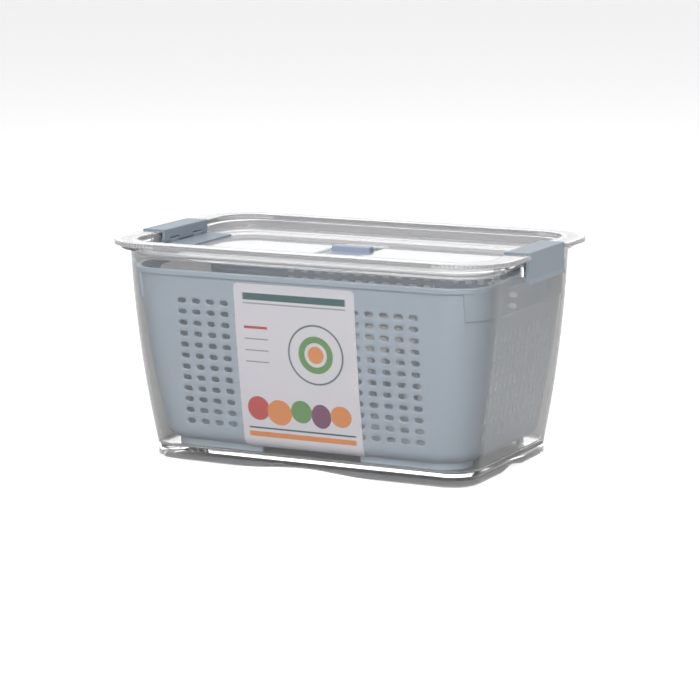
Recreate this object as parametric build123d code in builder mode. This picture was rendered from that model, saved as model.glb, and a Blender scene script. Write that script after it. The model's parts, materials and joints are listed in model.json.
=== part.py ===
from build123d import *
import os

os.makedirs("parts", exist_ok=True)

# Sizes in mm
# X runs along the box, Y towards its back and Z up from the ground, with the origin
# under the middle of the feet.

# Bin
base_length = 245.0
base_width = 141.0
flare = 16.6
wall_bow = 2.3
base_corner = 20.0
rim_corner = 34.0
wall_start = 5.0
rim_height = 150.4
bin_wall = 2.2
rim_wall = 1.6
floor_height = 9.5
floor_plate = 2.4
floor_round = 3.0
ledge_drop = 10.8
foot_bulge = 0.6
foot_round = 1.5
arch_height = 3.4
front_foot = 61.5
end_foot = 43.5
flange_plate = 2.6
flange_end_reach = 7.4
flange_side_reach = 1.8

# Lid
lid_end_reach = 11.9
lid_side_reach = 3.4
lid_corner_growth = 2.0
lid_plate = 2.8
lid_round = 1.0
tub_end_inset = 5.1
tub_side_inset = 10.1
tub_corner = 22.0
tub_wall = 2.0
tub_depth = 9.8
tub_floor = 2.2
tub_fillet = 2.0
seat_depth = 1.0
seal_width = 2.2
seal_depth = 1.4
seal_setback = 0.4

# Latch
latch_length = 60.0
latch_play = 1.5
latch_reach = 9.4
latch_sheet = 2.0
latch_leg = 1.8
latch_round = 0.7
seat_gap = 0.2
notch_gap = 0.6
knuckle_radius = 1.4
knuckle_gap = 0.3
fixed_knuckle = 12.0
fixed_knuckle_offset = 16.0
pin_radius = 0.6
base_plate = 1.2
base_plate_reach = 21.3
catch_drop = 11.8
catch_plate = 2.2
catch_clearance = 0.3
bead_reach = 1.4
bead_height = 2.1
bead_gap = 0.5
tip_drop = 5.0
tip_flare = 1.2
tip_height = 3.0

# Vent
pocket_length = 36.0
pocket_width = 57.0
pocket_depth = 3.2
pocket_corner = 3.0
flap_side_gap = 2.5
flap_finger_gap = 19.5
flap_hinge_setback = 4.5
flap_plate = 1.4
flap_lift = 0.8
flap_hub_radius = 1.2
lug_width = 5.0
trunnion_radius = 0.9
trunnion_length = 2.0
grip_depth = 8.0
grip_height = 3.8
grip_inset = 0.5
grip_corner = 2.0
grip_round = 0.8
vent_radius = 3.0
vent_clearance = 0.3
plug_length = 2.4
plug_round = 0.6

# Basket
basket_gap = 5.0
basket_wall = 2.0
basket_corner = 27.0
basket_foot = 4.8
basket_headroom = 1.9
basket_floor = 2.0
basket_round = 8.0
lip_height = 3.5
lip_reach = 1.8
collar_reach = 1.2
collar_height = 22.8
collar_run = 17.1
foot_inset = 8.0
foot_wall = 2.4
foot_run_front = 73.1
foot_run_end = 23.1
hand_length = 77.0
hand_height = 19.0
hand_top_corner = 9.0
hand_corner = 3.0
hand_margin = 5.1

# Rows of holes in the basket
hole_pitch = 11.0
hole_row_pitch = 7.8
hole_length = 6.2
hole_height = 3.6
hole_drop = 21.2
hole_margin = 33.0
slot_pitch = 7.57
slot_row_pitch = 10.9
slot_width = 2.0
slot_height = 7.0
slot_drop = 14.0
slot_margin = 24.0
drain_length = 14.0
drain_width = 3.0
drain_pitch = 40.0
drain_row_pitch = 24.0

# Label
label_length = 91.5
label_shift = -0.75
label_drop = 5.9
label_sheet = 0.4
label_corner = 3.5


def rise(z):
    return (z - wall_start) / (rim_height - wall_start)


def grow(z):
    return flare * rise(z) + 4 * wall_bow * rise(z) * (1 - rise(z))


def wall_length(z, inset=0):
    return base_length + 2 * grow(z) - 2 * inset


def wall_width(z, inset=0):
    return base_width + 2 * grow(z) - 2 * inset


def wall_corner(z):
    return base_corner + (rim_corner - base_corner) * rise(z)


def heights(low, high, count=4):
    return [low + (high - low) * i / (count - 1) for i in range(count)]


def wall_sections(low, high, inset, corner):
    """Rounded rectangles that follow the bin's flared and bowed wall at an inset."""
    sections = []
    for z in heights(low, high):
        with BuildSketch(Plane.XY.offset(z)) as section:
            RectangleRounded(wall_length(z, inset), wall_width(z, inset), corner)
        sections.append(section.sketch)
    return sections


def end_strips(inner, outer, width):
    """A rectangle across each end between two distances from the middle."""
    with Locations(((inner + outer) / 2, 0), (-(inner + outer) / 2, 0)):
        Rectangle(outer - inner, width)


def fits(space, margin, pitch):
    """How many steps of a row fit in a space with a margin at each end."""
    return int((space - 2 * margin) / pitch) + 1


# Heights and places that the sizes give
lid_top = rim_height + lid_plate
lid_length = wall_length(rim_height, -lid_end_reach)
lid_width = wall_width(rim_height, -lid_side_reach)
lid_corner = rim_corner + lid_corner_growth
tub_length = wall_length(rim_height, tub_end_inset)
tub_width = wall_width(rim_height, tub_side_inset)
tub_bottom = lid_top - tub_depth
pocket_bottom = tub_bottom - pocket_depth
ledge_height = rim_height - ledge_drop
seal_inset = rim_wall - seal_setback

latch_outside = wall_length(rim_height, -latch_reach) / 2
latch_inner = latch_outside - latch_sheet
bead_inner = latch_inner - bead_reach
catch_outside = bead_inner - catch_clearance
catch_height = rim_height - catch_drop
bead_top = catch_height - bead_gap
latch_tip = catch_height - tip_drop
latch_top = lid_top - seat_depth + seat_gap + latch_sheet
notch_length = latch_length + 2 * latch_play
hinge_x = tub_length / 2 - knuckle_radius - knuckle_gap
hinge_z = tub_bottom + base_plate + knuckle_radius + knuckle_gap
knuckle_room = knuckle_radius + 2 * knuckle_gap
leg_inner = hinge_x - knuckle_radius
leg_outer = leg_inner + latch_leg
plate_inner = hinge_x - base_plate_reach
plate_outer = tub_length / 2 - tub_fillet

flap_length = pocket_length - 2 * flap_side_gap
flap_hinge_y = flap_hinge_setback - pocket_width / 2
flap_end_y = pocket_width / 2 - flap_finger_gap
flap_bottom = pocket_bottom + flap_lift
flap_axis_z = flap_bottom + flap_plate / 2
vent_y = flap_end_y - grip_depth / 2

basket_bottom = floor_height + basket_foot
basket_rim = pocket_bottom - tub_floor - basket_headroom
collar_base = basket_rim - collar_height
collar_start = wall_length(rim_height) / 2 - collar_run
foot_length = wall_length(basket_bottom, basket_gap + foot_inset)
foot_width = wall_width(basket_bottom, basket_gap + foot_inset)
foot_corner = basket_corner - foot_inset
hand_bottom = basket_rim - hand_margin - hand_height
label_top = basket_rim - label_drop

holes_floor = basket_bottom + basket_round
hole_top = basket_rim - hole_drop
hole_columns = fits(wall_length(holes_floor, basket_gap), hole_margin, hole_pitch)
hole_rows = fits(hole_top - holes_floor, hole_height / 2, hole_row_pitch)
slot_top = hand_bottom - slot_drop
slot_columns = fits(wall_width(holes_floor, basket_gap), slot_margin, slot_pitch)
slot_rows = fits(slot_top - holes_floor, slot_height / 2, slot_row_pitch)
drain_columns = fits(foot_length, foot_corner + foot_wall, drain_pitch)
drain_rows = fits(foot_width, foot_corner + foot_wall, drain_row_pitch)

# Outer bin
with BuildPart() as outer_bin:
    for z in heights(wall_start, rim_height):
        with BuildSketch(Plane.XY.offset(z)):
            RectangleRounded(wall_length(z), wall_width(z), wall_corner(z))
    loft()
    # Foot ring
    with BuildSketch():
        RectangleRounded(base_length + 2 * foot_bulge, base_width + 2 * foot_bulge, base_corner)
    extrude(amount=wall_start)
    fillet(outer_bin.faces().sort_by(Axis.Z)[0].edges(), foot_round)
    # Rim flange with its wide ends
    with BuildSketch(Plane.XY.offset(rim_height - flange_plate)):
        RectangleRounded(
            wall_length(rim_height, -flange_end_reach),
            wall_width(rim_height, -flange_side_reach),
            rim_corner + flange_side_reach,
        )
    extrude(amount=flange_plate)
    # Latch notches and the catch under each
    with BuildSketch(Plane.XY.offset(catch_height)):
        end_strips(catch_outside, lid_length / 2, notch_length)
    extrude(amount=rim_height - catch_height, mode=Mode.SUBTRACT)
    with BuildSketch(Plane.XY.offset(catch_height)):
        end_strips(catch_outside - catch_plate, catch_outside, latch_length)
    extrude(amount=rim_height - catch_height)
    # Inside
    for z in heights(floor_height, rim_height):
        with BuildSketch(Plane.XY.offset(z)):
            RectangleRounded(
                wall_length(z, bin_wall), wall_width(z, bin_wall), wall_corner(z) - bin_wall
            )
    inside = loft(mode=Mode.PRIVATE)
    floor_edges = inside.faces().sort_by(Axis.Z)[0].edges()
    add(inside.fillet(floor_round, floor_edges), mode=Mode.SUBTRACT)
    for z in (ledge_height, rim_height):
        with BuildSketch(Plane.XY.offset(z)):
            RectangleRounded(
                wall_length(z, rim_wall), wall_width(z, rim_wall), wall_corner(z) - rim_wall
            )
    loft(mode=Mode.SUBTRACT)
    # Hollow under the floor
    with BuildSketch():
        RectangleRounded(
            base_length - 2 * bin_wall, base_width - 2 * bin_wall, base_corner - bin_wall
        )
    extrude(amount=floor_height - floor_plate, mode=Mode.SUBTRACT)
    # Waved lower edge
    for plane, run, reach in (
        (Plane.XZ, base_length - 2 * front_foot, base_width),
        (Plane.YZ, base_width - 2 * end_foot, base_length),
    ):
        with BuildSketch(plane):
            with BuildLine():
                Spline(
                    (-run / 2, 0), (0, arch_height), (run / 2, 0), tangents=((1, 0), (1, 0))
                )
                Line((run / 2, 0), (-run / 2, 0))
            make_face()
        extrude(amount=reach, both=True, mode=Mode.SUBTRACT)

# Basket
with BuildPart() as basket:
    # Raised collar round each end
    loft(
        wall_sections(
            collar_base, basket_rim, basket_gap - collar_reach, basket_corner + collar_reach
        )
    )
    with BuildSketch(Plane.XY.offset(collar_base)):
        Rectangle(2 * collar_start, lid_width)
    extrude(amount=collar_height, mode=Mode.SUBTRACT)
    # Lip
    lip_base = basket_rim - lip_height
    loft(wall_sections(lip_base, basket_rim, basket_gap - lip_reach, basket_corner + lip_reach))
    # Walls
    loft(wall_sections(basket_bottom, basket_rim, basket_gap, basket_corner))
    fillet(basket.faces().sort_by(Axis.Z)[0].edges(), basket_round)
    inner_gap = basket_gap + basket_wall
    inner_floor = basket_bottom + basket_floor
    inner_corner = basket_corner - basket_wall
    cavity = loft(
        wall_sections(inner_floor, basket_rim, inner_gap, inner_corner), mode=Mode.PRIVATE
    )
    floor_edges = cavity.faces().sort_by(Axis.Z)[0].edges()
    add(cavity.fillet(basket_round - basket_wall, floor_edges), mode=Mode.SUBTRACT)
    # Hand hole through both ends
    with BuildSketch(Plane.YZ) as hand_hole:
        with Locations((0, hand_bottom + hand_height / 2)):
            Rectangle(hand_length, hand_height)
        fillet(hand_hole.vertices().group_by(Axis.Y)[-1], hand_top_corner)
        fillet(hand_hole.vertices().group_by(Axis.Y)[0], hand_corner)
    extrude(amount=base_length, both=True, mode=Mode.SUBTRACT)
    # Holes through the front and back walls
    with BuildSketch(Plane.XZ):
        with Locations((0, hole_top - (hole_rows - 1) * hole_row_pitch / 2)):
            with GridLocations(hole_pitch, hole_row_pitch, hole_columns, hole_rows):
                Rectangle(hole_length, hole_height)
    extrude(amount=base_width, both=True, mode=Mode.SUBTRACT)
    # Upright slots through the end walls
    with BuildSketch(Plane.YZ):
        with Locations((0, slot_top - (slot_rows - 1) * slot_row_pitch / 2)):
            with GridLocations(slot_pitch, slot_row_pitch, slot_columns, slot_rows):
                Rectangle(slot_width, slot_height)
    extrude(amount=base_length, both=True, mode=Mode.SUBTRACT)
    # Drain slots in the floor
    with BuildSketch(Plane.XY.offset(basket_bottom)):
        with GridLocations(drain_pitch, drain_row_pitch, drain_columns, drain_rows):
            Rectangle(drain_length, drain_width)
    extrude(amount=basket_floor, mode=Mode.SUBTRACT)
    # Corner feet
    with BuildSketch(Plane.XY.offset(floor_height)):
        RectangleRounded(foot_length, foot_width, foot_corner)
        RectangleRounded(
            foot_length - 2 * foot_wall,
            foot_width - 2 * foot_wall,
            foot_corner - foot_wall,
            mode=Mode.SUBTRACT,
        )
        Rectangle(foot_length - 2 * foot_run_front, foot_width, mode=Mode.SUBTRACT)
        Rectangle(foot_length, foot_width - 2 * foot_run_end, mode=Mode.SUBTRACT)
    extrude(amount=basket_foot + basket_floor / 2)

# Label on the front of the basket
with BuildPart() as label:
    sheet_gap = basket_gap - label_sheet
    sheet_bottom = basket_bottom - label_sheet
    loft(wall_sections(sheet_bottom, basket_rim, sheet_gap, basket_corner + label_sheet))
    fillet(label.faces().sort_by(Axis.Z)[0].edges(), basket_round + label_sheet)
    with BuildSketch(Plane.XZ):
        with Locations((label_shift, (basket_bottom + label_top) / 2)):
            RectangleRounded(label_length, label_top - basket_bottom, label_corner)
    extrude(amount=lid_width, mode=Mode.INTERSECT)
    core = loft(
        wall_sections(basket_bottom, basket_rim, basket_gap, basket_corner), mode=Mode.PRIVATE
    )
    add(core.fillet(basket_round, core.faces().sort_by(Axis.Z)[0].edges()), mode=Mode.SUBTRACT)

# Lid
with BuildPart() as lid:
    with BuildSketch(Plane.XY.offset(rim_height)):
        RectangleRounded(lid_length, lid_width, lid_corner)
    extrude(amount=lid_plate)
    fillet(lid.faces().sort_by(Axis.Z)[-1].edges(), lid_round)
    with BuildSketch(Plane.XY.offset(tub_bottom - tub_floor)):
        RectangleRounded(tub_length + 2 * tub_wall, tub_width + 2 * tub_wall, tub_corner + tub_wall)
    extrude(amount=tub_depth + tub_floor)
    fillet(lid.faces().sort_by(Axis.Z)[0].edges(), tub_fillet)
    # Pocket for the vent, let into the floor
    with BuildSketch(Plane.XY.offset(pocket_bottom - tub_floor)):
        RectangleRounded(
            pocket_length + 2 * tub_wall, pocket_width + 2 * tub_wall, pocket_corner + tub_wall
        )
    extrude(amount=pocket_depth + tub_floor / 2)
    # Recess
    with BuildSketch(Plane.XY.offset(tub_bottom)):
        RectangleRounded(tub_length, tub_width, tub_corner)
    recess = extrude(amount=tub_depth, mode=Mode.PRIVATE)
    add(recess.fillet(tub_fillet, recess.faces().sort_by(Axis.Z)[0].edges()), mode=Mode.SUBTRACT)
    with BuildSketch(Plane.XY.offset(pocket_bottom)):
        RectangleRounded(pocket_length, pocket_width, pocket_corner)
    extrude(amount=pocket_depth, mode=Mode.SUBTRACT)
    # Lugs that carry the flap's trunnions
    lug = flap_side_gap - vent_clearance
    with BuildSketch(Plane.XY.offset(pocket_bottom)):
        with Locations((0, flap_hinge_y)):
            end_lug = (pocket_length - lug) / 2
            with Locations((end_lug, 0), (-end_lug, 0)):
                Rectangle(lug, lug_width)
    extrude(amount=pocket_depth)
    with BuildSketch(Plane.YZ):
        with Locations((flap_hinge_y, flap_axis_z)):
            Circle(trunnion_radius + vent_clearance)
    extrude(amount=pocket_length / 2, both=True, mode=Mode.SUBTRACT)
    # Vent hole
    with BuildSketch(Plane.XY.offset(pocket_bottom)):
        with Locations((0, vent_y)):
            Circle(vent_radius)
    extrude(amount=-tub_floor, mode=Mode.SUBTRACT)
    # Latch seats and notches
    with BuildSketch(Plane.XY.offset(lid_top)):
        end_strips(tub_length / 2, lid_length / 2, notch_length)
    extrude(amount=-seat_depth, mode=Mode.SUBTRACT)
    with BuildSketch(Plane.XY.offset(lid_top)):
        end_strips(catch_outside - notch_gap, lid_length / 2, notch_length)
    extrude(amount=-lid_plate, mode=Mode.SUBTRACT)

# Seal
with BuildPart() as lid_seal:
    with BuildSketch(Plane.XY.offset(rim_height)):
        RectangleRounded(
            wall_length(rim_height, seal_inset - seal_width),
            wall_width(rim_height, seal_inset - seal_width),
            rim_corner - seal_inset + seal_width,
        )
        RectangleRounded(
            wall_length(rim_height, seal_inset),
            wall_width(rim_height, seal_inset),
            rim_corner - seal_inset,
            mode=Mode.SUBTRACT,
        )
    extrude(amount=seal_depth)

# Groove for the seal
with lid:
    add(lid_seal.part, mode=Mode.SUBTRACT)

# Latch on the right
with BuildPart() as latch_right:
    with BuildSketch(Plane.XZ):
        with BuildLine():
            Polyline(
                (leg_inner, hinge_z),
                (leg_inner, latch_top),
                (latch_outside, latch_top),
                (latch_outside, latch_tip + tip_height),
                (latch_outside + tip_flare, latch_tip),
                (latch_outside, latch_tip),
                (latch_inner, bead_top - bead_height),
                (bead_inner, bead_top - bead_height / 2),
                (bead_inner, bead_top),
                (latch_inner, bead_top),
                (latch_inner, latch_top - latch_sheet),
                (leg_outer, latch_top - latch_sheet),
                (leg_outer, hinge_z),
                close=True,
            )
        make_face()
        with Locations((hinge_x, hinge_z)):
            Circle(knuckle_radius)
    extrude(amount=latch_length / 2, both=True)
    crown = latch_right.edges().filter_by(Axis.Y).sort_by(Axis.Z)[-2:]
    fillet(crown, latch_round)
    # Room for the fixed knuckles
    for side in (1, -1):
        with BuildSketch(Plane.XZ.offset(-side * fixed_knuckle_offset)):
            with Locations((hinge_x, hinge_z)):
                Rectangle(2 * knuckle_room, 2 * knuckle_room)
        extrude(amount=fixed_knuckle / 2 + knuckle_gap, both=True, mode=Mode.SUBTRACT)
    with BuildSketch(Plane.XZ):
        with Locations((hinge_x, hinge_z)):
            Circle(pin_radius + knuckle_gap)
    extrude(amount=latch_length / 2, both=True, mode=Mode.SUBTRACT)

# Fixed half of the right latch's hinge
with BuildPart() as latch_base_right:
    with BuildSketch(Plane.XY.offset(tub_bottom)):
        with Locations(((plate_inner + plate_outer) / 2, 0)):
            Rectangle(plate_outer - plate_inner, latch_length)
    extrude(amount=base_plate)
    for side in (1, -1):
        with BuildSketch(Plane.XZ.offset(-side * fixed_knuckle_offset)):
            with Locations((hinge_x, hinge_z)):
                Circle(knuckle_radius)
            with Locations(((leg_inner + plate_outer) / 2, (tub_bottom + hinge_z) / 2)):
                Rectangle(plate_outer - leg_inner, hinge_z - tub_bottom)
        extrude(amount=fixed_knuckle / 2, both=True)
    with BuildSketch(Plane.XZ):
        with Locations((hinge_x, hinge_z)):
            Circle(pin_radius)
    extrude(amount=latch_length / 2, both=True, mode=Mode.SUBTRACT)

# Right hinge pin
with BuildPart() as hinge_pin_right:
    with BuildSketch(Plane.XZ):
        with Locations((hinge_x, hinge_z)):
            Circle(pin_radius)
    extrude(amount=latch_length / 2, both=True)

# Left latch, hinge half and pin
with BuildPart() as latch_left:
    mirror(latch_right.part, about=Plane.YZ)

with BuildPart() as latch_base_left:
    mirror(latch_base_right.part, about=Plane.YZ)

with BuildPart() as hinge_pin_left:
    mirror(hinge_pin_right.part, about=Plane.YZ)

# Vent flap
with BuildPart() as vent_flap:
    with BuildSketch(Plane.YZ):
        with Locations((flap_hinge_y, flap_axis_z)):
            Circle(flap_hub_radius)
        with Locations(((flap_hinge_y + flap_end_y) / 2, flap_axis_z)):
            Rectangle(flap_end_y - flap_hinge_y, flap_plate)
    extrude(amount=flap_length / 2, both=True)
    with BuildSketch(Plane.XY.offset(flap_bottom + flap_plate)):
        with Locations((0, flap_end_y - grip_depth / 2)):
            RectangleRounded(flap_length - 2 * grip_inset, grip_depth, grip_corner)
    extrude(amount=grip_height)
    fillet(vent_flap.faces().sort_by(Axis.Z)[-1].edges(), grip_round)
    with BuildSketch(Plane.YZ):
        with Locations((flap_hinge_y, flap_axis_z)):
            Circle(trunnion_radius)
    extrude(amount=flap_length / 2 + trunnion_length, both=True)

# Plug under the flap
with BuildPart() as vent_plug:
    with BuildSketch(Plane.XY.offset(flap_bottom)):
        with Locations((0, vent_y)):
            Circle(vent_radius - vent_clearance)
    extrude(amount=-plug_length)
    fillet(vent_plug.faces().sort_by(Axis.Z)[0].edges(), plug_round)

# Files
pieces = {
    "outer_bin": outer_bin,
    "basket": basket,
    "label": label,
    "lid": lid,
    "lid_seal": lid_seal,
    "latch_left": latch_left,
    "latch_right": latch_right,
    "latch_base_left": latch_base_left,
    "latch_base_right": latch_base_right,
    "hinge_pin_left": hinge_pin_left,
    "hinge_pin_right": hinge_pin_right,
    "vent_flap": vent_flap,
    "vent_plug": vent_plug,
}
for name, piece in pieces.items():
    piece.part.label = name
    export_step(piece.part, "parts/" + name + ".step")
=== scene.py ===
import json
import math
from types import SimpleNamespace

import bmesh
import bpy
from mathutils import Matrix, Vector


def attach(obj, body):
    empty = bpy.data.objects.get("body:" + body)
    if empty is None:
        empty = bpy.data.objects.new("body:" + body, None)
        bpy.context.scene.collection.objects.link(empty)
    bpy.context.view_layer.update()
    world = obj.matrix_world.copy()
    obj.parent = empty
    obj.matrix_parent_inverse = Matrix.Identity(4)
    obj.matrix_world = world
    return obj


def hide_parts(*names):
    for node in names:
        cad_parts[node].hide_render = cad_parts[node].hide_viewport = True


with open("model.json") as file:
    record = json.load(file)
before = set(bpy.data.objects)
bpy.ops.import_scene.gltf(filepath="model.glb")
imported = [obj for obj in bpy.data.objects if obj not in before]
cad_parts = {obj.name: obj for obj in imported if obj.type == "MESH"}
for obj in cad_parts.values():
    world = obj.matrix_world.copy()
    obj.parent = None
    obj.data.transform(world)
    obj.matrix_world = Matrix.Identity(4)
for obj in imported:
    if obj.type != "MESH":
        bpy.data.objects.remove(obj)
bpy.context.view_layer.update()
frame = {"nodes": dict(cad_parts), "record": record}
nodes = frame["nodes"]

# Camera, in metres and degrees
camera_azimuth = 27.30
camera_elevation = 10.44
camera_roll = -0.52
camera_distance = 1.9964
camera_target = Vector((-0.0003, 0.0, 0.0734))
camera_lens = 147.2

# Colours, linear
blue_grey = (0.352, 0.413, 0.479, 1)
vent_blue = (0.42, 0.485, 0.60, 1)
bin_tint = (0.955, 0.955, 0.95, 1)
lid_tint = (0.98, 0.98, 0.98, 1)
silicone_tint = (0.9, 0.91, 0.91, 1)
haze_white = (0.86, 0.86, 0.88, 1)
steel_grey = (0.6, 0.6, 0.6, 1)
paper_dark, paper_light = (0.655, 0.64, 0.69, 1), (0.705, 0.69, 0.74, 1)
# The floor's second colour is a darker grey seen only through plastic: painted shade
floor_pale, painted_floor_shade = (0.8, 0.8, 0.8, 1), (0.34, 0.34, 0.35, 1)

# What share of a lamp's light each face of a clear piece lets through
bin_veil = (0.95, 0.95, 0.95, 1)
lid_veil = (0.45, 0.45, 0.45, 1)
silicone_veil = (0.8, 0.8, 0.8, 1)

# Surroundings: their light on the object and after its first bounce, then their brightness
# by height in reflections and through plastic, as the sine of the height and the level there
light_level = 0.55
inner_level = 0.2
shine_steps = ((0.0, 0.9), (0.12, 1.6), (0.32, 1.6), (0.5, 0.3), (1.0, 0.2))
view_steps = ((0.0, 0.8), (0.12, 2.4), (0.32, 2.4), (0.45, 0.2), (1.0, 0.12))

# The floor's own light where the camera or a reflection sees it, and places in metres
floor_glow = 0.65
floor_reach, floor_drop = 30.0, 0.0002
lamp_aim = (0, 0, 0.08)

mm_per_metre = 1000


def new_material(name):
    material = bpy.data.materials.new(name)
    material.use_nodes = True
    tree = material.node_tree
    shader = tree.nodes["Principled BSDF"]
    return material, tree, shader


def add_node(tree, kind, **settings):
    node = tree.nodes.new(kind)
    for name, value in settings.items():
        setattr(node, name, value)
    return node


def set_inputs(node, **values):
    for name, value in values.items():
        node.inputs[name.replace("_", " ")].default_value = value


def feed(tree, socket, value):
    """Link a socket to a node's output, or set it to a plain value."""
    if isinstance(value, bpy.types.NodeSocket):
        tree.links.new(value, socket)
    else:
        socket.default_value = value


def compute(tree, kind, operation, *values, **settings):
    """A math node with its inputs fed in order."""
    node = add_node(tree, kind, operation=operation, **settings)
    for socket, value in zip(node.inputs, values):
        feed(tree, socket, value)
    return node


# The sockets of a mix node that take its two values, and the one that gives the result
mix_sockets = {"RGBA": (6, 7, 2), "FLOAT": (2, 3, 0)}


def blend(tree, share, low, high, kind="RGBA"):
    """From low to high by a share; each of the three is a node's output or a plain value."""
    node = add_node(tree, "ShaderNodeMix", data_type=kind)
    first, second, result = mix_sockets[kind]
    feed(tree, node.inputs[0], share)
    feed(tree, node.inputs[first], low)
    feed(tree, node.inputs[second], high)
    return node.outputs[result]


def blend_shaders(tree, share, low, high):
    node = add_node(tree, "ShaderNodeMixShader")
    for socket, value in zip(node.inputs, (share, low, high)):
        feed(tree, socket, value)
    return node.outputs[0]


def object_noise(tree, **values):
    """A noise that stays fixed to the object."""
    coordinates = add_node(tree, "ShaderNodeTexCoord")
    noise = add_node(tree, "ShaderNodeTexNoise")
    set_inputs(noise, **values)
    tree.links.new(coordinates.outputs["Object"], noise.inputs["Vector"])
    return noise.outputs["Fac"]


def add_bump(tree, shader, height, distance, strength):
    bump = add_node(tree, "ShaderNodeBump")
    set_inputs(bump, Distance=distance, Strength=strength)
    tree.links.new(height, bump.inputs["Height"])
    tree.links.new(bump.outputs[0], shader.inputs["Normal"])


def clear_plastic(name, tint, roughness, veil, haze):
    """A glossy clear plastic with a little haze that lets lamps through to what it covers."""
    material, tree, shader = new_material(name)
    set_inputs(shader, Base_Color=tint, Roughness=roughness, IOR=1.5, Transmission_Weight=1.0)
    milk = add_node(tree, "ShaderNodeBsdfDiffuse")
    set_inputs(milk, Color=haze_white)
    through = add_node(tree, "ShaderNodeBsdfTransparent")
    set_inputs(through, Color=veil)
    path = add_node(tree, "ShaderNodeLightPath")
    cloudy = blend_shaders(tree, haze, shader.outputs[0], milk.outputs[0])
    plastic = blend_shaders(tree, path.outputs["Is Shadow Ray"], cloudy, through.outputs[0])
    tree.links.new(plastic, tree.nodes["Material Output"].inputs[0])
    return material


def moulded_plastic(name, colour, roughness, grain=0.00045, height=0.00002, swing=0.05):
    """A satin moulded plastic with a fine spark-eroded grain and a slight change of tone."""
    material, tree, shader = new_material(name)
    link = tree.links.new
    sparks = object_noise(tree, Scale=1 / grain, Detail=2.0, Roughness=0.6)
    flow = object_noise(tree, Scale=14.0, Detail=3.0, Roughness=0.5)
    dark, light = (tuple(c * tone for c in colour[:3]) + (1,) for tone in (1 - swing, 1 + swing))
    link(blend(tree, flow, dark, light), shader.inputs["Base Color"])
    rough = add_node(tree, "ShaderNodeMapRange")
    set_inputs(rough, To_Min=roughness - swing, To_Max=roughness + swing)
    link(sparks, rough.inputs["Value"])
    link(rough.outputs[0], shader.inputs["Roughness"])
    add_bump(tree, shader, sparks, height, 0.6)
    set_inputs(shader, IOR=1.48)
    return material


def plain(name, colour, roughness, metallic=0.0):
    material, _, shader = new_material(name)
    set_inputs(shader, Base_Color=colour, Roughness=roughness, Metallic=metallic)
    return material


def dress(piece, material):
    piece.data.materials.clear()
    piece.data.materials.append(material)


def print_shape(tree, coordinates, ground, kind, middle, half, ink, blur=0.02):
    """Lay a disc or a bar of one ink over what is there. Sizes in mm."""
    x, z = (size / mm_per_metre for size in middle)
    stretch = (mm_per_metre / half[0], 0, mm_per_metre / half[1])
    shifted = compute(tree, "ShaderNodeVectorMath", "SUBTRACT", coordinates, (x, 0, z)).outputs[0]
    scaled = compute(tree, "ShaderNodeVectorMath", "MULTIPLY", shifted, stretch).outputs[0]
    if kind == "disc":
        distance = compute(tree, "ShaderNodeVectorMath", "LENGTH", scaled).outputs["Value"]
    else:
        split = add_node(tree, "ShaderNodeSeparateXYZ")
        feed(tree, split.inputs[0], compute(tree, "ShaderNodeVectorMath", "ABSOLUTE", scaled).outputs[0])
        distance = compute(
            tree, "ShaderNodeMath", "MAXIMUM", split.outputs["X"], split.outputs["Z"]
        ).outputs[0]
    inside = add_node(tree, "ShaderNodeMapRange")
    set_inputs(inside, From_Min=1 + blur, From_Max=1 - blur)
    tree.links.new(distance, inside.inputs["Value"])
    return blend(tree, inside.outputs[0], ground, ink + (1,))


def printed_label():
    """Coated paper with a plain pattern of bars, rings and discs."""
    material, tree, shader = new_material("label_print")
    coordinates = add_node(tree, "ShaderNodeTexCoord").outputs["Object"]
    fibre = object_noise(tree, Scale=900.0, Detail=3.0)
    colour = blend(tree, fibre, paper_dark, paper_light)
    for kind, middle, half, ink in label_shapes:
        colour = print_shape(tree, coordinates, colour, kind, middle, half, ink)
    tree.links.new(colour, shader.inputs["Base Color"])
    add_bump(tree, shader, fibre, 0.00001, 0.5)
    set_inputs(shader, Roughness=0.32, Coat_Weight=0.15, Coat_Roughness=0.2)
    return material


# Inks, linear
teal, plum, grey = (0.012, 0.085, 0.09), (0.16, 0.03, 0.10), (0.30, 0.31, 0.34)
red, orange, green = (0.5, 0.035, 0.025), (0.72, 0.24, 0.04), (0.10, 0.27, 0.06)
bare_paper = (0.68, 0.665, 0.715)

# Shapes on the label, each over the ones before: kind, middle (x, z), half size, ink, in mm
label_middle = -0.75
target_middle = (14, 84)
lines_middle, lines_half = -31, 9
label_shapes = [
    ("bar", (label_middle, 121.5), (39, 2.4), teal),
    ("bar", (label_middle, 116.8), (39, 0.5), grey),
]
for radius, ink in ((21, teal), (19.8, bare_paper), (13, green), (8.5, bare_paper), (6, orange)):
    label_shapes.append(("disc", target_middle, (radius, radius), ink))
for height, thickness, ink in ((100, 0.9, red), (92, 0.5, grey), (84, 0.5, grey), (76, 0.5, grey)):
    label_shapes.append(("bar", (lines_middle, height), (lines_half, thickness), ink))
label_shapes += [
    ("disc", (-33, 43), (8.5, 8.5), red),
    ("disc", (-17, 41), (9.5, 9), orange),
    ("disc", (0, 43), (8, 8), green),
    ("disc", (15, 41), (7.5, 8.5), plum),
    ("disc", (30, 42), (8, 7.5), orange),
    ("bar", (label_middle, 29), (41, 0.6), teal),
    ("bar", (label_middle, 24.5), (41, 1.8), orange),
]

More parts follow.
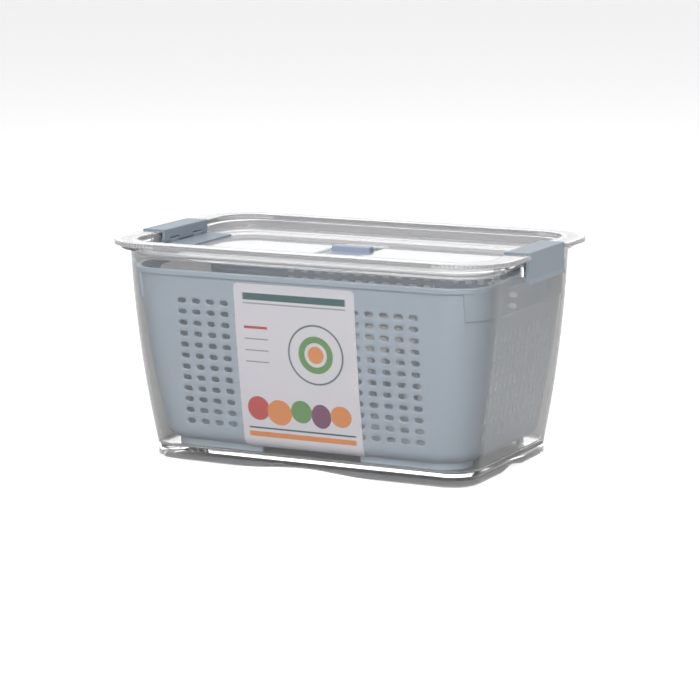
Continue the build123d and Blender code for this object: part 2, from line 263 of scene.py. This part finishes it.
materials = {
    "clear_bin": clear_plastic("bin_clear_plastic", bin_tint, 0.03, bin_veil, 0.015),
    "clear_lid": clear_plastic("lid_clear_plastic", lid_tint, 0.03, lid_veil, 0.22),
    "blue_grey": moulded_plastic("blue_grey_plastic", blue_grey, 0.42),
    "vent_blue": moulded_plastic("vent_plastic", vent_blue, 0.38),
    "silicone": clear_plastic("silicone", silicone_tint, 0.3, silicone_veil, 0.25),
    "pin_steel": plain("pin_steel", steel_grey, 0.3, 1.0),
    "printed_sheet": printed_label(),
}
for subpart in frame["record"]["subparts"]:
    dress(nodes[subpart["node"]], materials[subpart["material_slot"]])


# Basket sizes in mm, in the CAD's frame: the wall's law is the bin's, a gap further in
base_half_length, base_half_width = 122.5, 70.5
flare, wall_bow = 16.6, 2.3
wall_start, rim_height = 5.0, 150.4
basket_gap, basket_wall = 5.0, 2.0
basket_bend = 27.0
bend_length = basket_bend * math.pi / 2
basket_bottom, basket_rim = 14.3, 136.1
basket_round, floor_plate = 8.0, 2.0
rim_bevel, rim_bevel_row = 0.5, 0.15
lip_reach, lip_base = 1.8, 132.6
step_half = 0.2
crease_degrees = 42

# The collar round each end starts at this x, but no further round the bend than this sine
collar_reach, collar_base, collar_start = 1.2, 113.5, 122.0
latest_collar_sine = 0.75

# Holes in the long walls and slots in the ends. A lower power makes a squarer outline, and
# first_row is the first row of points that they take up
holes = SimpleNamespace(
    columns=17, pitch=11.0, low=25.2, rows=12, row_pitch=7.8,
    half=(3.1, 1.8), edge_round=0.7, power=0.72, first_row=1,
)
slots = SimpleNamespace(
    columns=13, pitch=7.57, low=27.15, rows=7, row_pitch=10.9,
    half=(1.0, 3.5), edge_round=0.45, power=0.55, first_row=2,
)
patterns = {"front": holes, "end": slots}

# An opening's edge, as shares of its round: the round's middle, the inner bevel's width and depth
round_middle, inner_bevel_width, inner_bevel_depth = 0.3, 0.5, 0.6

# Hand hole: its lower and upper bends, and how many steps its block of points keeps from the
# sides and the top of the slots' own
hand_half, hand_low, hand_high = 38.5, 112.0, 131.0
hand_bends = (3.0, 9.0)
hand_edge_round = 0.9
hand_side_steps, hand_lower_steps = 4, 5

# Drain slots in the floor: counts, pitches, and the half length between their round ends
drain_counts, drain_pitches = (5, 4), (40.0, 24.0)
drain_half, drain_radius = 5.5, 1.5

# Corner feet: their outer corner, the legs' lengths from it along both walls, and their section
foot_corner, foot_legs = (111.1, 59.1), (73.1, 23.1)
foot_bend, foot_wall = 19.0, 2.4
foot_low, foot_high = 9.5, 14.6

# Steps: along each side of a hole, round the corner before and after the collar's edge, up the
# plain parts of the walls, and round the wall's foot, a corner foot and a drain slot
side_steps = 4
front_bend_steps, end_bend_steps = 6, 9
front_upper_steps, slots_to_collar_steps = 4, 7
round_steps, foot_steps, drain_points = 6, 8, 12


def wall_half(z):
    share = (z - wall_start) / (rim_height - wall_start)
    out = flare * share + 4 * wall_bow * share * (1 - share) - basket_gap
    return base_half_length + out, base_half_width + out


def bend_arc(reach):
    """Arc length to a point that lies this far past the bend's start, negative before it."""
    return reach if reach < 0 else basket_bend * math.asin(min(reach / basket_bend, 1))


def front_start(z):
    """Arc length at which the holes end, from the bend's start at the front."""
    return bend_arc(holes.columns * holes.pitch / 2 - (wall_half(z)[0] - basket_bend))


def end_start(z):
    """Arc length at which the slots start, from the bend's start at the front."""
    return bend_length - bend_arc(slots.columns * slots.pitch / 2 - (wall_half(z)[1] - basket_bend))


def collar_turn(z):
    """Arc length at which the collar starts, from the bend's start at the front."""
    sine = (collar_start - wall_half(z)[0] + basket_bend) / basket_bend
    return basket_bend * math.asin(min(sine, latest_collar_sine))


def round_bend(t, z):
    """Place and outward direction at arc length t in the front right corner."""
    along, across = (size - basket_bend for size in wall_half(z))
    turn = min(max(t / basket_bend, 0), math.pi / 2)
    normal = (math.sin(turn), -math.cos(turn))
    x = along + basket_bend * normal[0] + min(t, 0)
    y = -across + basket_bend * normal[1] + max(t - bend_length, 0)
    return x, y, normal


def on_front(x, z):
    px, py, normal = round_bend(bend_arc(abs(x) - (wall_half(z)[0] - basket_bend)), z)
    side = 1 if x >= 0 else -1
    return px * side, py, (normal[0] * side, normal[1])


def on_end(y, z):
    px, py, normal = round_bend(bend_length - bend_arc(abs(y) - (wall_half(z)[1] - basket_bend)), z)
    side = -1 if y >= 0 else 1
    return px, py * side, (normal[0], normal[1] * side)


def on_corner(piece, share, z):
    """Piece 0 runs from the holes to the collar's edge, piece 1 from there to the slots."""
    middle = collar_turn(z)
    if piece == 0:
        low, high = front_start(z), middle - step_half
    else:
        low, high = middle + step_half, end_start(z)
    return round_bend(low + (high - low) * share, z)


def wall_steps(pattern):
    """Places along a wall: the sides of its cells and the steps between them."""
    count = pattern.columns * side_steps
    return [pattern.pitch * (i / side_steps - pattern.columns / 2) for i in range(count + 1)]


def columns():
    """Each column as where it lies, its value and the quarter it is mirrored to."""
    front, end = wall_steps(holes), wall_steps(slots)
    bend = [(0, i / front_bend_steps) for i in range(1, front_bend_steps + 1)]
    bend += [(1, i / end_bend_steps) for i in range(end_bend_steps)]
    ring = [("front", x, (1, 1)) for x in front]
    ring += [("bend", b, (1, 1)) for b in bend]
    ring += [("end", y, (1, 1)) for y in end]
    ring += [("bend", b, (1, -1)) for b in reversed(bend)]
    ring += [("front", -x, (1, -1)) for x in front]
    ring += [("bend", b, (-1, -1)) for b in bend]
    ring += [("end", -y, (-1, 1)) for y in end]
    ring += [("bend", b, (-1, 1)) for b in reversed(bend)]
    return ring


def place(column, z):
    """Place and outward direction on the wall's outer face."""
    kind, value, (sx, sy) = column
    if kind == "front":
        x, y, normal = on_front(value, z)
        sx = 1
    elif kind == "end":
        x, y, normal = on_end(value, z)
        sy = 1
    else:
        x, y, normal = on_corner(*value, z)
    return x * sx, y * sy, (normal[0] * sx, normal[1] * sy)


def stops(runs):
    """Heights from runs of low, high and steps, with the last high added."""
    out = [low + (high - low) * i / count for low, high, count in runs for i in range(count)]
    return out + [runs[-1][1]]


# Heights of the rows of points, as many at the ends as at the front
bend_top = basket_bottom + basket_round
hole_high = holes.low + holes.rows * holes.row_pitch
slot_high = slots.low + slots.rows * slots.row_pitch
collar_low, collar_high = collar_base - step_half, collar_base + step_half
lip_low, lip_high = lip_base - step_half / 2, lip_base + step_half / 2
front_runs = [
    (bend_top, holes.low, holes.first_row),
    (holes.low, hole_high, holes.rows * side_steps),
    (hole_high, lip_low, front_upper_steps),
]
end_runs = [
    (bend_top, slots.low, slots.first_row),
    (slots.low, slot_high, slots.rows * side_steps),
    (slot_high, collar_low, slots_to_collar_steps),
    (collar_low, collar_high, 1),
]
steps_left = sum(run[2] for run in front_runs) - sum(run[2] for run in end_runs)
end_runs.append((collar_high, lip_low, steps_left))
front_heights, end_heights = stops(front_runs), stops(end_runs)
rim_heights = [lip_high, basket_rim - rim_bevel, basket_rim - rim_bevel_row]
row_count = len(front_heights) + len(rim_heights)


def column_height(column, row):
    """Height of a row, which in the bend goes over from the front's to the ends'."""
    if row >= len(front_heights):
        return rim_heights[row - len(front_heights)]
    kind, value = column[0], column[1]
    share = 0.0 if kind == "front" else 1.0
    if kind == "bend" and value[0] == 0:
        share = value[1] * value[1] * (3 - 2 * value[1])
    return front_heights[row] * (1 - share) + end_heights[row] * share


def relief(column, z):
    """How far the collar and the lip stand out."""
    if z > lip_base:
        return lip_reach
    outer = column[0] == "end" or (column[0] == "bend" and column[1][0] == 1)
    return collar_reach if outer and z > collar_base else 0.0


def oval(share, half, grow, power):
    """A point of a rounded oblong, at a share of the way round from its lower left."""
    angle = math.radians(225) + share * 2 * math.pi
    c, s = math.cos(angle), math.sin(angle)
    return (
        math.copysign(abs(c) ** power, c) * (half[0] + grow),
        math.copysign(abs(s) ** power, s) * (half[1] + grow),
    )


def cell_outline(centre, middle, pattern, direction):
    """The outline of one hole or slot."""
    def outline(share, column, height, grow):
        along, up = oval(share, pattern.half, grow, pattern.power)
        return centre + direction * along, middle + up
    return outline


def hand_outline(share, column, height, grow):
    """The point of the hand hole's outline that is nearest to a point of the grid."""
    middle = (hand_low + hand_high) / 2
    bend = hand_bends[1] if height > middle else hand_bends[0]
    reach, tall = hand_half - bend, (hand_high - hand_low) / 2 - bend
    centre_y = min(max(column[1], -reach), reach)
    centre_z = min(max(height, middle - tall), middle + tall)
    dy, dz = column[1] - centre_y, height - centre_z
    stretch = (bend + grow) / (math.hypot(dy, dz) or 1.0)
    return centre_y + dy * stretch, centre_z + dz * stretch


def opening_profile(edge_round):
    """How much an opening widens at each depth into the wall, from outside to inside."""
    middle = edge_round * round_middle
    return (
        (edge_round, 0.0), (middle, middle), (0.0, edge_round),
        (0.0, basket_wall - edge_round * inner_bevel_depth),
        (edge_round * inner_bevel_width, basket_wall),
    )


def block_edge(first_column, first_row, wide, tall):
    """Grid places round a block, from its lower left corner."""
    edge = [(first_column + i, first_row) for i in range(wide)]
    edge += [(first_column + wide, first_row + i) for i in range(tall)]
    edge += [(first_column + wide - i, first_row + tall) for i in range(wide)]
    edge += [(first_column, first_row + tall - i) for i in range(tall)]
    return edge


def drain_outlines():
    """The floor's drain slots, each two half circles joined by straight sides."""
    shapes = []
    for i in range(drain_counts[0]):
        for j in range(drain_counts[1]):
            middle_x = (i - (drain_counts[0] - 1) / 2) * drain_pitches[0]
            middle_y = (j - (drain_counts[1] - 1) / 2) * drain_pitches[1]
            shape = []
            for k in range(drain_points):
                angle = math.radians(360 * (k + 0.5) / drain_points - 90)
                end = drain_half if k < drain_points / 2 else -drain_half
                x = middle_x + end + drain_radius * math.cos(angle)
                shape.append((x, middle_y + drain_radius * math.sin(angle)))
            shapes.append(shape)
    return shapes


def foot_path():
    """Place and turn along the outer face of the foot in the front right corner."""
    corner_x, corner_y = foot_corner
    path = [(corner_x - foot_legs[0], -corner_y, 0.0)]
    for k in range(foot_steps + 1):
        angle = math.radians(90 * k / foot_steps)
        x = corner_x - foot_bend + foot_bend * math.sin(angle)
        y = -corner_y + foot_bend - foot_bend * math.cos(angle)
        path.append((x, y, angle))
    path.append((corner_x, -corner_y + foot_legs[1], math.pi / 2))
    return path


class BasketShell:
    """The outer and inner skin as rows of points round the wall, and all faces made so far."""

    def __init__(self):
        self.points, self.faces = [], []
        self.open_cells = set()
        self.floor_sheets = []
        self.ring = columns()
        self.outer, self.inner = [], []
        for row in range(row_count):
            inset = rim_bevel - rim_bevel_row if row == row_count - 1 else 0
            spots = [(column, column_height(column, row)) for column in self.ring]
            self.outer.append([self.wall_point(c, z, inset - relief(c, z)) for c, z in spots])
            self.inner.append([self.wall_point(c, z, basket_wall - inset) for c, z in spots])

    def add(self, x, y, z):
        """Add a point given in mm and return its number."""
        self.points.append((x / mm_per_metre, y / mm_per_metre, z / mm_per_metre))
        return len(self.points) - 1

    def wall_point(self, column, z, depth):
        x, y, normal = place(column, z)
        return self.add(x - normal[0] * depth, y - normal[1] * depth, z)

    def join_rings(self, rings):
        """Join closed rings of points, each to the next. The other order turns the faces round."""
        for ring_a, ring_b in zip(rings, rings[1:]):
            for i, point in enumerate(ring_a):
                j = (i + 1) % len(ring_a)
                self.faces.append((point, ring_a[j], ring_b[j], ring_b[i]))

    def cut(self, first_column, first_row, wide, tall, outline, edge_round):
        """Replace a block of the grid by an opening through the wall with rounded edges."""
        count = len(self.ring)
        for i in range(wide):
            for j in range(tall):
                self.open_cells.add(((first_column + i) % count, first_row + j))
        edge = [(c % count, r) for c, r in block_edge(first_column, first_row, wide, tall)]
        kind, _, mirror = self.ring[first_column]
        rings = [[self.outer[r][c] for c, r in edge]]
        for grow, depth in opening_profile(edge_round):
            loop = []
            for k, (c, r) in enumerate(edge):
                column = self.ring[c]
                along, z = outline(k / len(edge), column, column_height(column, r), grow)
                spot = (kind, along, mirror)
                stand = relief(spot, z) if depth < edge_round else 0.0
                loop.append(self.wall_point(spot, z, depth - stand))
            rings.append(loop)
        rings.append([self.inner[r][c] for c, r in edge])
        self.join_rings(rings)

    def open_wall(self, kind, mirror, direction):
        """Cut a wall's holes or slots, and at an end the hand hole over them."""
        pattern = patterns[kind]
        start = [(column[0], column[2]) for column in self.ring].index((kind, mirror))
        for i in range(pattern.columns):
            centre = direction * pattern.pitch * (i + 0.5 - pattern.columns / 2)
            for j in range(pattern.rows):
                middle = pattern.low + pattern.row_pitch * (j + 0.5)
                self.cut(
                    start + i * side_steps, pattern.first_row + j * side_steps, side_steps, side_steps,
                    cell_outline(centre, middle, pattern, direction), pattern.edge_round,
                )
        if kind == "end":
            low_row = slots.first_row + slots.rows * side_steps + hand_lower_steps
            tall = len(end_heights) - 1 - low_row
            wide = slots.columns * side_steps - 2 * hand_side_steps
            self.cut(start + hand_side_steps, low_row, wide, tall, hand_outline, hand_edge_round)

    def close_walls(self):
        """Fill the cells that stay closed, on both skins, and the rim between the skins."""
        count = len(self.ring)
        for skin, turned in ((self.outer, False), (self.inner, True)):
            for row, (low, high) in enumerate(zip(skin, skin[1:])):
                for c in range(count):
                    if (c, row) not in self.open_cells:
                        d = (c + 1) % count
                        face = (low[c], low[d], high[d], high[c])
                        self.faces.append(face[::-1] if turned else face)
        rim_outer = [self.wall_point(c, basket_rim, rim_bevel - lip_reach) for c in self.ring]
        rim_inner = [self.wall_point(c, basket_rim, basket_wall - rim_bevel) for c in self.ring]
        self.join_rings([self.outer[-1], rim_outer, rim_inner, self.inner[-1]])

    def turn_under(self, start_ring, radius, floor_height, skin_depth):
        """Rings of points that carry a skin from the wall round to the floor."""
        rings = [start_ring]
        for step in range(1, round_steps + 1):
            angle = math.radians(90 * step / round_steps)
            depth = skin_depth + radius * (1 - math.cos(angle))
            z = floor_height + radius * (1 - math.sin(angle))
            loop = []
            for column in self.ring:
                x, y, normal = place(column, bend_top - radius * math.sin(angle))
                loop.append(self.add(x - normal[0] * depth, y - normal[1] * depth, z))
            rings.append(loop)
        return rings

    def lay_floor(self):
        """Add the lower round and the drain slots, and note the loops that bound each floor face."""
        floor_top = basket_bottom + floor_plate
        under = self.turn_under(self.outer[0], basket_round, basket_bottom, 0.0)
        over = self.turn_under(self.inner[0], basket_round - basket_wall, floor_top, basket_wall)
        self.join_rings(under[::-1])
        self.join_rings(over)
        outlines = drain_outlines()
        low_loops = [[self.add(x, y, basket_bottom) for x, y in outline] for outline in outlines]
        high_loops = [[self.add(x, y, floor_top) for x, y in outline] for outline in outlines]
        for low, high in zip(low_loops, high_loops):
            self.join_rings([high, low])
        self.floor_sheets = [[under[-1]] + low_loops, [over[-1]] + high_loops]

    def add_foot(self, side_x, side_y):
        """Add a corner foot as a low wall of its own, sunk a little into the floor."""
        sections = []
        for x, y, angle in foot_path():
            inner_x = x - foot_wall * math.sin(angle)
            inner_y = y + foot_wall * math.cos(angle)
            corners = ((x, y, foot_low), (x, y, foot_high))
            corners += ((inner_x, inner_y, foot_high), (inner_x, inner_y, foot_low))
            sections.append([self.add(px * side_x, py * side_y, z) for px, py, z in corners])
        if side_x * side_y < 0:
            sections.reverse()
        self.join_rings(sections)
        self.faces += [sections[0], sections[-1][::-1]]

    def make_object(self, name):
        """Fill the floor, turn all faces outwards and crease the sharp edges."""
        mesh = bpy.data.meshes.new(name)
        mesh.from_pydata(self.points, [], self.faces)
        work = bmesh.new()
        work.from_mesh(mesh)
        work.verts.ensure_lookup_table()
        for loops in self.floor_sheets:
            edges = []
            for loop in loops:
                for a, b in zip(loop, loop[1:] + loop[:1]):
                    ends = work.verts[a], work.verts[b]
                    edges.append(work.edges.get(ends) or work.edges.new(ends))
            bmesh.ops.triangle_fill(work, edges=edges, use_beauty=True)
        bmesh.ops.recalc_face_normals(work, faces=work.faces)
        for face in work.faces:
            face.smooth = True
        for edge in work.edges:
            edge.smooth = edge.calc_face_angle(0) <= math.radians(crease_degrees)
        work.to_mesh(mesh)
        work.free()
        piece = bpy.data.objects.new(name, mesh)
        bpy.context.scene.collection.objects.link(piece)
        return piece


def make_basket():
    shell = BasketShell()
    for kind, mirror, direction in (
        ("front", (1, 1), 1), ("front", (1, -1), -1), ("end", (1, 1), 1), ("end", (-1, 1), -1)
    ):
        shell.open_wall(kind, mirror, direction)
    shell.close_walls()
    shell.lay_floor()
    for side_x in (1, -1):
        for side_y in (1, -1):
            shell.add_foot(side_x, side_y)
    return shell.make_object("drain_basket")


def floor_white():
    """White where nothing shades it, to the camera and in reflections, and painted a darker grey through
    plastic, as painted shade.
    """
    material, tree, shader = new_material("floor_white")
    set_inputs(shader, Roughness=0.8)
    link = tree.links.new
    seen = add_node(tree, "ShaderNodeLightPath").outputs
    through = seen["Is Transmission Ray"]
    # Through plastic the floor takes a darker grey, which is painted shade
    link(blend(tree, through, floor_pale, painted_floor_shade), shader.inputs["Base Color"])
    mirrored = compute(tree, "ShaderNodeMath", "SUBTRACT", seen["Is Glossy Ray"], through, use_clamp=True)
    either = compute(tree, "ShaderNodeMath", "MAXIMUM", seen["Is Camera Ray"], mirrored.outputs[0])
    level = compute(tree, "ShaderNodeMath", "MULTIPLY", either.outputs[0], floor_glow)
    glow = add_node(tree, "ShaderNodeEmission")
    set_inputs(glow, Color=(1, 1, 1, 1))
    link(level.outputs[0], glow.inputs["Strength"])
    join = add_node(tree, "ShaderNodeAddShader")
    link(shader.outputs[0], join.inputs[0])
    link(glow.outputs[0], join.inputs[1])
    link(join.outputs[0], tree.nodes["Material Output"].inputs[0])
    return material


def make_stage():
    """A plain floor just under the object."""
    mesh = bpy.data.meshes.new("floor")
    signs = ((-1, -1), (1, -1), (1, 1), (-1, 1))
    mesh.from_pydata([(floor_reach * x, floor_reach * y, 0) for x, y in signs], [], [(0, 1, 2, 3)])
    floor = bpy.data.objects.new("floor", mesh)
    bpy.context.scene.collection.objects.link(floor)
    floor.location.z = -floor_drop
    dress(floor, floor_white())


def height_ramp(tree, height, steps):
    """Brightness by the sine of the height above the horizon."""
    ramp = add_node(tree, "ShaderNodeValToRGB")
    points = ramp.color_ramp.elements
    while len(points) < len(steps):
        points.new(0.5)
    for point, (where, value) in zip(points, steps):
        point.position = where
        point.color = (value, value, value, 1)
    tree.links.new(height, ramp.inputs[0])
    return ramp.outputs[0]


def make_world():
    """Surroundings with a brightness for each kind of ray. Of two that fit, the later one counts."""
    world = bpy.data.worlds.new("studio")
    bpy.context.scene.world = world
    world.use_nodes = True
    tree = world.node_tree
    background = tree.nodes["Background"]
    set_inputs(background, Color=(1, 1, 1, 1))
    direction = add_node(tree, "ShaderNodeTexCoord")
    split = add_node(tree, "ShaderNodeSeparateXYZ")
    tree.links.new(direction.outputs["Generated"], split.inputs[0])
    shine, view = (height_ramp(tree, split.outputs["Z"], steps) for steps in (shine_steps, view_steps))
    seen = add_node(tree, "ShaderNodeLightPath").outputs
    level = light_level
    for ray, brightness in (
        ("Is Glossy Ray", shine), ("Is Transmission Ray", view),
        ("Diffuse Depth", inner_level), ("Is Camera Ray", 1.0),
    ):
        level = blend(tree, seen[ray], level, brightness, "FLOAT")
    tree.links.new(level, background.inputs["Strength"])


def add_lamp(name, position, size, power):
    light = bpy.data.lights.new(name, "AREA")
    light.shape = "RECTANGLE"
    light.size, light.size_y = size
    light.energy = power
    lamp = bpy.data.objects.new(name, light)
    bpy.context.scene.collection.objects.link(lamp)
    lamp.location = position
    lamp.rotation_euler = (Vector(lamp_aim) - Vector(position)).to_track_quat("-Z", "Y").to_euler()


def make_camera():
    azimuth, elevation = math.radians(camera_azimuth), math.radians(camera_elevation)
    back = Vector((
        math.sin(azimuth) * math.cos(elevation),
        -math.cos(azimuth) * math.cos(elevation),
        math.sin(elevation),
    ))
    data = bpy.data.cameras.new("camera")
    data.lens = camera_lens
    data.sensor_width = 36.0
    camera = bpy.data.objects.new("camera", data)
    bpy.context.scene.collection.objects.link(camera)
    turn = back.to_track_quat("Z", "Y").to_matrix().to_4x4()
    roll = Matrix.Rotation(math.radians(camera_roll), 4, "Z")
    camera.matrix_world = Matrix.Translation(camera_target + camera_distance * back) @ turn @ roll
    bpy.context.scene.camera = camera


basket = make_basket()
dress(basket, materials["blue_grey"])
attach(basket, "basket")
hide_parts("basket")
make_camera()
make_stage()
make_world()
add_lamp("softbox_top", (-0.2, 0.3, 2.2), (2.0, 1.4), 22)
add_lamp("softbox_front", (0.7, -2.3, 1.4), (1.8, 1.2), 38)

scene = bpy.context.scene
scene.view_settings.view_transform = "Standard"
scene.cycles.max_bounces = 32
scene.cycles.transmission_bounces = 28
scene.cycles.glossy_bounces = 12
scene.cycles.transparent_max_bounces = 32
